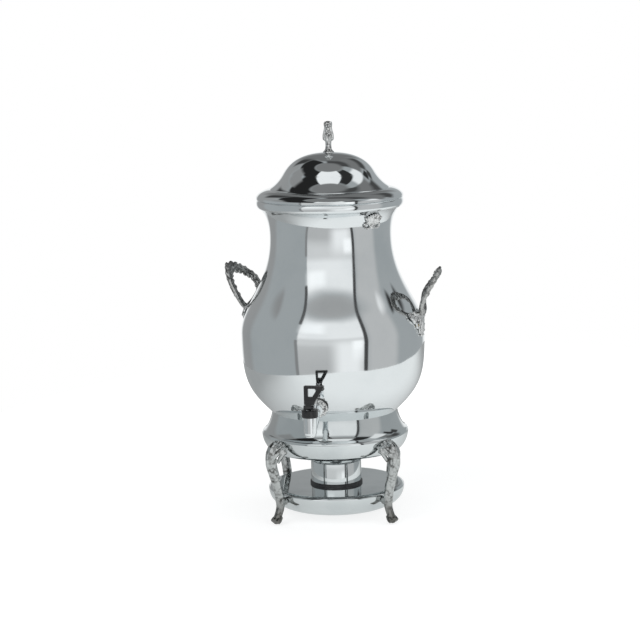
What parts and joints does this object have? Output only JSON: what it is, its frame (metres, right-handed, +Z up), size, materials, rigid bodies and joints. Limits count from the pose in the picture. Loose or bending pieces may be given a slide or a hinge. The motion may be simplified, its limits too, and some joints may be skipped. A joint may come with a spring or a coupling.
{
  "type": "coffee urn",
  "caption": "Silver-plated coffee urn with a lift-off domed lid, loop handles and a black lever tap, on a legged stand with a round tray and a spirit burner.",
  "frame": {"origin": "on the table, on the vertical axis of the urn, at the centre between the legs", "axes": "+Z up along the urn's axis; -Y towards the tap, which is the front; +X to the right when facing the tap"},
  "size_m": [0.3378, 0.325, 0.6],
  "materials": {
    "body_silver": "mirror-polished silver plate",
    "cast_silver": "bright silver plate, darker in the hollows",
    "inner_silver": "dull, unpolished",
    "brass": "machined, slightly dull",
    "dark_steel": "dull, slightly oiled",
    "spring_steel": "bright drawn wire and rod",
    "seal_rubber": "matt",
    "black_plastic": "glossy moulded",
    "black_metal": "satin black",
    "wick_cotton": "woven cotton cord"
  },
  "bodies": {
    "urn": {"urn_bowl": "body_silver", "urn_shoulder": "body_silver", "rim_band": "body_silver", "rim_ornaments": "cast_silver", "handle_left": "cast_silver", "handle_right": "cast_silver", "handle_mount_left": "cast_silver", "handle_mount_right": "cast_silver", "handle_bolts": "brass", "handle_washers": "seal_rubber", "tap_escutcheon": "body_silver", "escutcheon_screws": "dark_steel", "tap_outer_seal": "seal_rubber", "tap_inner_seal": "seal_rubber", "tap_shank": "body_silver", "tap_shank_nut": "brass", "tap_body": "body_silver", "tap_bonnet": "black_plastic", "tap_lever_pin": "dark_steel", "tap_spring": "spring_steel", "stand_collar": "body_silver", "base_screws": "dark_steel", "leg_front_left": "cast_silver", "leg_front_right": "cast_silver", "leg_back_right": "cast_silver", "leg_back_left": "cast_silver", "leg_screws": "dark_steel", "tray_pan": "body_silver", "tray_plate": "body_silver", "tray_screws": "dark_steel"},
    "lid": {"lid_dome": "body_silver", "lid_brim": "body_silver", "lid_flange": "inner_silver", "finial": "cast_silver", "finial_washer": "inner_silver", "finial_nut": "brass"},
    "lever": {"tap_lever": "black_plastic"},
    "stem": {"tap_stem": "spring_steel", "tap_seat_cup": "seal_rubber"},
    "burner": {"burner_pot": "body_silver", "burner_base_ring": "black_metal"},
    "burner_lid": {"burner_lid": "body_silver", "wick_tube": "brass", "wick": "wick_cotton"},
    "snuffer": {"snuffer_cap": "body_silver"}
  },
  "joints": [
    {"name": "lid_lift", "type": "slide", "parent": "urn", "child": "lid", "axis": [0, 0, 1], "range_m": [0, 0.12]},
    {"name": "lever_pull", "type": "hinge", "parent": "urn", "child": "lever", "pos_m": [0, -0.18, 0.1985], "axis": [1, 0, 0], "range_deg": [0, 35], "stiffness_Nm_per_rad": 0.3, "springref_deg": -20.05},
    {"name": "stem_lift", "type": "slide", "parent": "urn", "child": "stem", "axis": [0, 0, 1], "range_m": [0, 0.0032], "deforming": ["tap_spring"]},
    {"name": "burner_out", "type": "slide", "parent": "urn", "child": "burner", "axis": [0, 1, 0], "range_m": [0, 0.17]},
    {"name": "burner_lid_lift", "type": "slide", "parent": "burner", "child": "burner_lid", "axis": [0, 0, 1], "range_m": [0, 0.04]},
    {"name": "snuffer_lift", "type": "slide", "parent": "burner_lid", "child": "snuffer", "axis": [0, 0, 1], "range_m": [0, 0.015]}
  ],
  "couplings": [
    {"joint": "stem_lift", "follows": "lever_pull", "m_per_rad": 0.005238}
  ]
}
